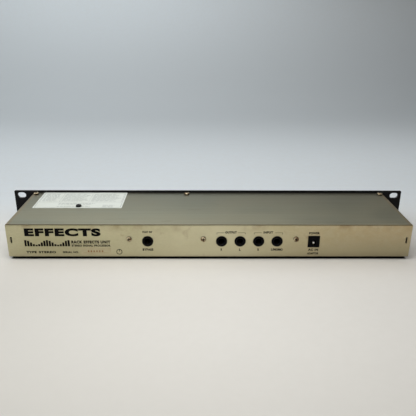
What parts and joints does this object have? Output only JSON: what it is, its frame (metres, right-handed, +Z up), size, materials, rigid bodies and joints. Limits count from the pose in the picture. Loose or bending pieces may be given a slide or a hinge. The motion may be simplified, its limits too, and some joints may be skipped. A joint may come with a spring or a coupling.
{
  "type": "rack effects unit",
  "caption": "Half-depth audio effects unit for a 19-inch rack: bent steel case behind a black panel with knobs, buttons and display, and phone jacks and a power inlet at the rear.",
  "frame": {"origin": "centre of the four rack slots, on the front panel's rear (mounting) face", "axes": "+X right as seen from the front, +Y to the rear, +Z up; the controls face -Y"},
  "size_m": [0.4826, 0.1206, 0.0441],
  "materials": {
    "panel_paint": "satin black powder coat",
    "tray_steel": "pale gold passivated zinc on sheet steel",
    "cover_steel": "dull rolled zinc-coated steel",
    "bright_screw": "bright nickel",
    "black_screw": "black oxide",
    "label_paper": "white label stock",
    "sticker": "pale sticker",
    "black_plastic": "black moulded plastic",
    "knob_plastic": "soft black moulded plastic",
    "button_plastic": "grey moulded plastic",
    "rubber": "black rubber",
    "plain_metal": "plated metal",
    "contact_brass": "plated spring brass",
    "circuit_board": "green solder mask",
    "chip_plastic": "moulded epoxy",
    "smoked_lens": "smoked red acrylic",
    "display_face": "dark display face",
    "lamp_red": "tinted lamp resin",
    "ribbon_grey": "grey cable jacket"
  },
  "bodies": {
    "case": {"front_panel": "panel_paint", "panel_screws": "black_screw", "chassis_tray": "tray_steel", "top_cover": "cover_steel", "cover_screws": "bright_screw", "cover_label": "label_paper", "label_screw": "black_screw", "cover_post": "plain_metal", "serial_sticker": "sticker", "rear_screws": "bright_screw", "board_brackets": "plain_metal", "rubber_feet": "rubber", "main_board": "circuit_board", "board_standoffs": "plain_metal", "board_screws": "bright_screw", "power_inlet": "black_plastic", "power_inlet_pin": "bright_screw", "front_board": "circuit_board", "pot_bodies": "plain_metal", "encoder_body": "plain_metal", "tact_switches": "black_plastic", "power_switch_body": "black_plastic", "display_lens": "smoked_lens", "display_module": "display_face", "indicator_leds": "lamp_red", "cable_headers": "black_plastic", "ribbon_cable": "ribbon_grey", "integrated_circuits": "chip_plastic", "electrolytic_capacitors": "chip_plastic", "heat_sink": "plain_metal", "voltage_regulator": "chip_plastic", "bypass_jack": "black_plastic", "output_jack_right": "black_plastic", "output_jack_left": "black_plastic", "input_jack_right": "black_plastic", "input_jack_left": "black_plastic", "jack_sleeve_contacts": "contact_brass"},
    "input_level_control": {"input_level_knob": "knob_plastic", "input_level_shaft": "plain_metal"},
    "edit_one_control": {"edit_one_knob": "knob_plastic", "edit_one_shaft": "plain_metal"},
    "edit_two_control": {"edit_two_knob": "knob_plastic", "edit_two_shaft": "plain_metal"},
    "mix_control": {"mix_knob": "knob_plastic", "mix_shaft": "plain_metal"},
    "output_level_control": {"output_level_knob": "knob_plastic", "output_level_shaft": "plain_metal"},
    "program_control": {"program_dial": "knob_plastic", "encoder_shaft": "plain_metal"},
    "bank_button": {"bank_button": "button_plastic"},
    "store_button": {"store_button": "button_plastic"},
    "tap_button": {"tap_button": "button_plastic"},
    "bypass_button": {"bypass_button": "button_plastic"},
    "power_button": {"power_button": "button_plastic"},
    "bypass_tip_contact": {"bypass_tip_contact": "contact_brass"},
    "output_tip_contact_right": {"output_tip_contact_right": "contact_brass"},
    "output_tip_contact_left": {"output_tip_contact_left": "contact_brass"},
    "input_tip_contact_right": {"input_tip_contact_right": "contact_brass"},
    "input_tip_contact_left": {"input_tip_contact_left": "contact_brass"},
    "power_inlet_contact": {"power_inlet_contact": "contact_brass"}
  },
  "joints": [
    {"name": "input_level_turn", "type": "hinge", "parent": "case", "child": "input_level_control", "pos_m": [-0.192, 0, 0], "axis": [0, 1, 0], "range_deg": [-150, 150]},
    {"name": "edit_one_turn", "type": "hinge", "parent": "case", "child": "edit_one_control", "pos_m": [-0.008, 0, 0], "axis": [0, 1, 0], "range_deg": [-150, 150]},
    {"name": "edit_two_turn", "type": "hinge", "parent": "case", "child": "edit_two_control", "pos_m": [0.026, 0, 0], "axis": [0, 1, 0], "range_deg": [-150, 150]},
    {"name": "mix_turn", "type": "hinge", "parent": "case", "child": "mix_control", "pos_m": [0.06, 0, 0], "axis": [0, 1, 0], "range_deg": [-150, 150]},
    {"name": "output_level_turn", "type": "hinge", "parent": "case", "child": "output_level_control", "pos_m": [0.094, 0, 0], "axis": [0, 1, 0], "range_deg": [-150, 150]},
    {"name": "program_turn", "type": "hinge", "parent": "case", "child": "program_control", "pos_m": [-0.052, 0, 0], "axis": [0, 1, 0], "continuous": true},
    {"name": "bank_button_press", "type": "slide", "parent": "case", "child": "bank_button", "axis": [0, 1, 0], "range_m": [0, 0.0006]},
    {"name": "store_button_press", "type": "slide", "parent": "case", "child": "store_button", "axis": [0, 1, 0], "range_m": [0, 0.0006]},
    {"name": "tap_button_press", "type": "slide", "parent": "case", "child": "tap_button", "axis": [0, 1, 0], "range_m": [0, 0.0006]},
    {"name": "bypass_button_press", "type": "slide", "parent": "case", "child": "bypass_button", "axis": [0, 1, 0], "range_m": [0, 0.0006]},
    {"name": "power_button_press", "type": "slide", "parent": "case", "child": "power_button", "axis": [0, 1, 0], "range_m": [0, 0.0035]},
    {"name": "bypass_tip_contact_flex", "type": "hinge", "parent": "case", "child": "bypass_tip_contact", "pos_m": [0.0667, 0.0923, 0.0052], "axis": [-1, 0, 0], "range_deg": [0, 7]},
    {"name": "output_tip_contact_right_flex", "type": "hinge", "parent": "case", "child": "output_tip_contact_right", "pos_m": [-0.0127, 0.0923, 0.0052], "axis": [-1, 0, 0], "range_deg": [0, 7]},
    {"name": "output_tip_contact_left_flex", "type": "hinge", "parent": "case", "child": "output_tip_contact_left", "pos_m": [-0.0326, 0.0923, 0.0052], "axis": [-1, 0, 0], "range_deg": [0, 7]},
    {"name": "input_tip_contact_right_flex", "type": "hinge", "parent": "case", "child": "input_tip_contact_right", "pos_m": [-0.0526, 0.0923, 0.0052], "axis": [-1, 0, 0], "range_deg": [0, 7]},
    {"name": "input_tip_contact_left_flex", "type": "hinge", "parent": "case", "child": "input_tip_contact_left", "pos_m": [-0.0725, 0.0923, 0.0052], "axis": [-1, 0, 0], "range_deg": [0, 7]},
    {"name": "power_inlet_contact_flex", "type": "hinge", "parent": "case", "child": "power_inlet_contact", "pos_m": [-0.11215, 0.092, -0.0056], "axis": [-1, 0, 0], "range_deg": [0, 4.5]}
  ]
}
